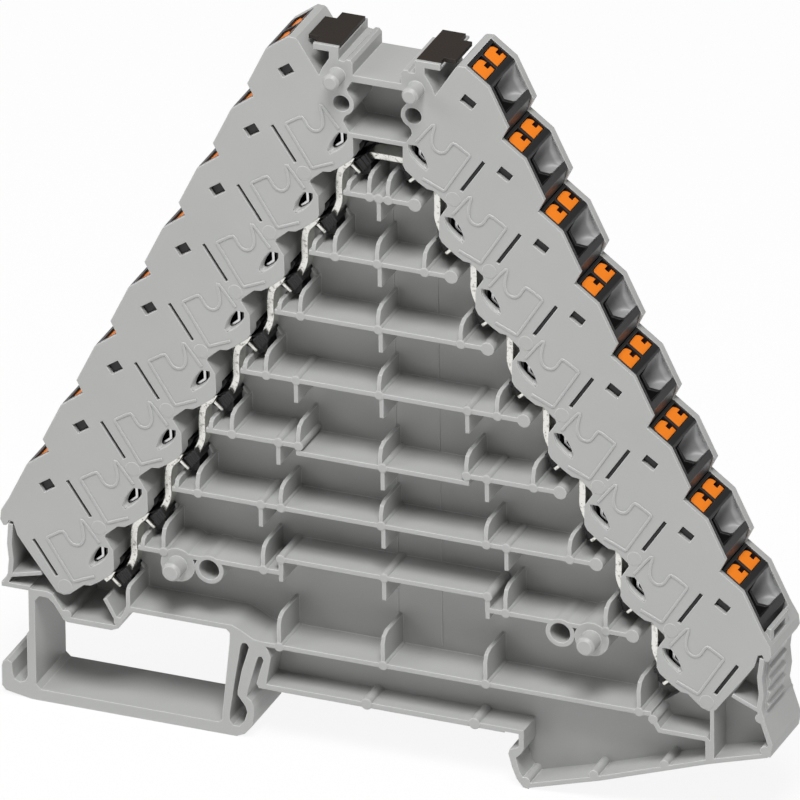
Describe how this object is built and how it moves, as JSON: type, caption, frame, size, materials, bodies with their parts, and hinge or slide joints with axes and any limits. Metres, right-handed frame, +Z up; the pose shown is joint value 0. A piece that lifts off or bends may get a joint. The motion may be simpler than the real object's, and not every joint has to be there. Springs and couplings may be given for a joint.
{
  "type": "feed-through terminal block",
  "caption": "Tall stepped terminal block with push-in clamps on both flanks, one open side, stub pegs and a clip-on foot.",
  "frame": {"origin": "on the standing surface below the middle of the block, at half its depth with the pegs", "axes": "+X along the width to the right, +Z up from the foot to the head, the open side and the pegs face -Y"},
  "size_m": [0.0995, 0.0116, 0.0952],
  "materials": {
    "housing_plastic": "fine matt moulded polyamide",
    "insert_plastic": "matt black moulding",
    "button_plastic": "satin orange moulding",
    "tinned_copper": "bright tin over stamped copper",
    "marker_plastic": "matt dark strip",
    "spring_steel": "bright spring steel"
  },
  "bodies": {
    "housing": {"housing": "housing_plastic", "contact_insert_left_1": "insert_plastic", "contact_insert_left_2": "insert_plastic", "contact_insert_left_3": "insert_plastic", "contact_insert_left_4": "insert_plastic", "contact_insert_left_5": "insert_plastic", "contact_insert_left_6": "insert_plastic", "contact_insert_left_7": "insert_plastic", "contact_insert_left_8": "insert_plastic", "contact_insert_right_1": "insert_plastic", "contact_insert_right_2": "insert_plastic", "contact_insert_right_3": "insert_plastic", "contact_insert_right_4": "insert_plastic", "contact_insert_right_5": "insert_plastic", "contact_insert_right_6": "insert_plastic", "contact_insert_right_7": "insert_plastic", "contact_insert_right_8": "insert_plastic", "current_bar": "tinned_copper", "marker_left": "marker_plastic", "marker_right": "marker_plastic", "clamp_springs_1": "spring_steel", "clamp_springs_2": "spring_steel", "clamp_springs_3": "spring_steel", "clamp_springs_4": "spring_steel", "clamp_springs_5": "spring_steel", "clamp_springs_6": "spring_steel", "clamp_springs_7": "spring_steel", "clamp_springs_8": "spring_steel"},
    "button_left_1_front": {"push_button_left_1_front": "button_plastic"},
    "button_left_1_rear": {"push_button_left_1_rear": "button_plastic"},
    "button_left_2_front": {"push_button_left_2_front": "button_plastic"},
    "button_left_2_rear": {"push_button_left_2_rear": "button_plastic"},
    "button_left_3_front": {"push_button_left_3_front": "button_plastic"},
    "button_left_3_rear": {"push_button_left_3_rear": "button_plastic"},
    "button_left_4_front": {"push_button_left_4_front": "button_plastic"},
    "button_left_4_rear": {"push_button_left_4_rear": "button_plastic"},
    "button_left_5_front": {"push_button_left_5_front": "button_plastic"},
    "button_left_5_rear": {"push_button_left_5_rear": "button_plastic"},
    "button_left_6_front": {"push_button_left_6_front": "button_plastic"},
    "button_left_6_rear": {"push_button_left_6_rear": "button_plastic"},
    "button_left_7_front": {"push_button_left_7_front": "button_plastic"},
    "button_left_7_rear": {"push_button_left_7_rear": "button_plastic"},
    "button_left_8_front": {"push_button_left_8_front": "button_plastic"},
    "button_left_8_rear": {"push_button_left_8_rear": "button_plastic"},
    "button_right_1_front": {"push_button_right_1_front": "button_plastic"},
    "button_right_1_rear": {"push_button_right_1_rear": "button_plastic"},
    "button_right_2_front": {"push_button_right_2_front": "button_plastic"},
    "button_right_2_rear": {"push_button_right_2_rear": "button_plastic"},
    "button_right_3_front": {"push_button_right_3_front": "button_plastic"},
    "button_right_3_rear": {"push_button_right_3_rear": "button_plastic"},
    "button_right_4_front": {"push_button_right_4_front": "button_plastic"},
    "button_right_4_rear": {"push_button_right_4_rear": "button_plastic"},
    "button_right_5_front": {"push_button_right_5_front": "button_plastic"},
    "button_right_5_rear": {"push_button_right_5_rear": "button_plastic"},
    "button_right_6_front": {"push_button_right_6_front": "button_plastic"},
    "button_right_6_rear": {"push_button_right_6_rear": "button_plastic"},
    "button_right_7_front": {"push_button_right_7_front": "button_plastic"},
    "button_right_7_rear": {"push_button_right_7_rear": "button_plastic"},
    "button_right_8_front": {"push_button_right_8_front": "button_plastic"},
    "button_right_8_rear": {"push_button_right_8_rear": "button_plastic"}
  },
  "joints": [
    {"name": "press_left_1_front", "type": "slide", "parent": "housing", "child": "button_left_1_front", "axis": [0.5978, 0, -0.8016], "range_m": [0, 0.001], "stiffness_N_per_m": 400},
    {"name": "press_left_1_rear", "type": "slide", "parent": "housing", "child": "button_left_1_rear", "axis": [0.5978, 0, -0.8016], "range_m": [0, 0.001], "stiffness_N_per_m": 400},
    {"name": "press_left_2_front", "type": "slide", "parent": "housing", "child": "button_left_2_front", "axis": [0.5978, 0, -0.8016], "range_m": [0, 0.001], "stiffness_N_per_m": 400},
    {"name": "press_left_2_rear", "type": "slide", "parent": "housing", "child": "button_left_2_rear", "axis": [0.5978, 0, -0.8016], "range_m": [0, 0.001], "stiffness_N_per_m": 400},
    {"name": "press_left_3_front", "type": "slide", "parent": "housing", "child": "button_left_3_front", "axis": [0.5978, 0, -0.8016], "range_m": [0, 0.001], "stiffness_N_per_m": 400},
    {"name": "press_left_3_rear", "type": "slide", "parent": "housing", "child": "button_left_3_rear", "axis": [0.5978, 0, -0.8016], "range_m": [0, 0.001], "stiffness_N_per_m": 400},
    {"name": "press_left_4_front", "type": "slide", "parent": "housing", "child": "button_left_4_front", "axis": [0.5978, 0, -0.8016], "range_m": [0, 0.001], "stiffness_N_per_m": 400},
    {"name": "press_left_4_rear", "type": "slide", "parent": "housing", "child": "button_left_4_rear", "axis": [0.5978, 0, -0.8016], "range_m": [0, 0.001], "stiffness_N_per_m": 400},
    {"name": "press_left_5_front", "type": "slide", "parent": "housing", "child": "button_left_5_front", "axis": [0.5978, 0, -0.8016], "range_m": [0, 0.001], "stiffness_N_per_m": 400},
    {"name": "press_left_5_rear", "type": "slide", "parent": "housing", "child": "button_left_5_rear", "axis": [0.5978, 0, -0.8016], "range_m": [0, 0.001], "stiffness_N_per_m": 400},
    {"name": "press_left_6_front", "type": "slide", "parent": "housing", "child": "button_left_6_front", "axis": [0.5978, 0, -0.8016], "range_m": [0, 0.001], "stiffness_N_per_m": 400},
    {"name": "press_left_6_rear", "type": "slide", "parent": "housing", "child": "button_left_6_rear", "axis": [0.5978, 0, -0.8016], "range_m": [0, 0.001], "stiffness_N_per_m": 400},
    {"name": "press_left_7_front", "type": "slide", "parent": "housing", "child": "button_left_7_front", "axis": [0.5978, 0, -0.8016], "range_m": [0, 0.001], "stiffness_N_per_m": 400},
    {"name": "press_left_7_rear", "type": "slide", "parent": "housing", "child": "button_left_7_rear", "axis": [0.5978, 0, -0.8016], "range_m": [0, 0.001], "stiffness_N_per_m": 400},
    {"name": "press_left_8_front", "type": "slide", "parent": "housing", "child": "button_left_8_front", "axis": [0.5978, 0, -0.8016], "range_m": [0, 0.001], "stiffness_N_per_m": 400},
    {"name": "press_left_8_rear", "type": "slide", "parent": "housing", "child": "button_left_8_rear", "axis": [0.5978, 0, -0.8016], "range_m": [0, 0.001], "stiffness_N_per_m": 400},
    {"name": "press_right_1_front", "type": "slide", "parent": "housing", "child": "button_right_1_front", "axis": [-0.5978, 0, -0.8016], "range_m": [0, 0.001], "stiffness_N_per_m": 400},
    {"name": "press_right_1_rear", "type": "slide", "parent": "housing", "child": "button_right_1_rear", "axis": [-0.5978, 0, -0.8016], "range_m": [0, 0.001], "stiffness_N_per_m": 400},
    {"name": "press_right_2_front", "type": "slide", "parent": "housing", "child": "button_right_2_front", "axis": [-0.5978, 0, -0.8016], "range_m": [0, 0.001], "stiffness_N_per_m": 400},
    {"name": "press_right_2_rear", "type": "slide", "parent": "housing", "child": "button_right_2_rear", "axis": [-0.5978, 0, -0.8016], "range_m": [0, 0.001], "stiffness_N_per_m": 400},
    {"name": "press_right_3_front", "type": "slide", "parent": "housing", "child": "button_right_3_front", "axis": [-0.5978, 0, -0.8016], "range_m": [0, 0.001], "stiffness_N_per_m": 400},
    {"name": "press_right_3_rear", "type": "slide", "parent": "housing", "child": "button_right_3_rear", "axis": [-0.5978, 0, -0.8016], "range_m": [0, 0.001], "stiffness_N_per_m": 400},
    {"name": "press_right_4_front", "type": "slide", "parent": "housing", "child": "button_right_4_front", "axis": [-0.5978, 0, -0.8016], "range_m": [0, 0.001], "stiffness_N_per_m": 400},
    {"name": "press_right_4_rear", "type": "slide", "parent": "housing", "child": "button_right_4_rear", "axis": [-0.5978, 0, -0.8016], "range_m": [0, 0.001], "stiffness_N_per_m": 400},
    {"name": "press_right_5_front", "type": "slide", "parent": "housing", "child": "button_right_5_front", "axis": [-0.5978, 0, -0.8016], "range_m": [0, 0.001], "stiffness_N_per_m": 400},
    {"name": "press_right_5_rear", "type": "slide", "parent": "housing", "child": "button_right_5_rear", "axis": [-0.5978, 0, -0.8016], "range_m": [0, 0.001], "stiffness_N_per_m": 400},
    {"name": "press_right_6_front", "type": "slide", "parent": "housing", "child": "button_right_6_front", "axis": [-0.5978, 0, -0.8016], "range_m": [0, 0.001], "stiffness_N_per_m": 400},
    {"name": "press_right_6_rear", "type": "slide", "parent": "housing", "child": "button_right_6_rear", "axis": [-0.5978, 0, -0.8016], "range_m": [0, 0.001], "stiffness_N_per_m": 400},
    {"name": "press_right_7_front", "type": "slide", "parent": "housing", "child": "button_right_7_front", "axis": [-0.5978, 0, -0.8016], "range_m": [0, 0.001], "stiffness_N_per_m": 400},
    {"name": "press_right_7_rear", "type": "slide", "parent": "housing", "child": "button_right_7_rear", "axis": [-0.5978, 0, -0.8016], "range_m": [0, 0.001], "stiffness_N_per_m": 400},
    {"name": "press_right_8_front", "type": "slide", "parent": "housing", "child": "button_right_8_front", "axis": [-0.5978, 0, -0.8016], "range_m": [0, 0.001], "stiffness_N_per_m": 400},
    {"name": "press_right_8_rear", "type": "slide", "parent": "housing", "child": "button_right_8_rear", "axis": [-0.5978, 0, -0.8016], "range_m": [0, 0.001], "stiffness_N_per_m": 400}
  ]
}
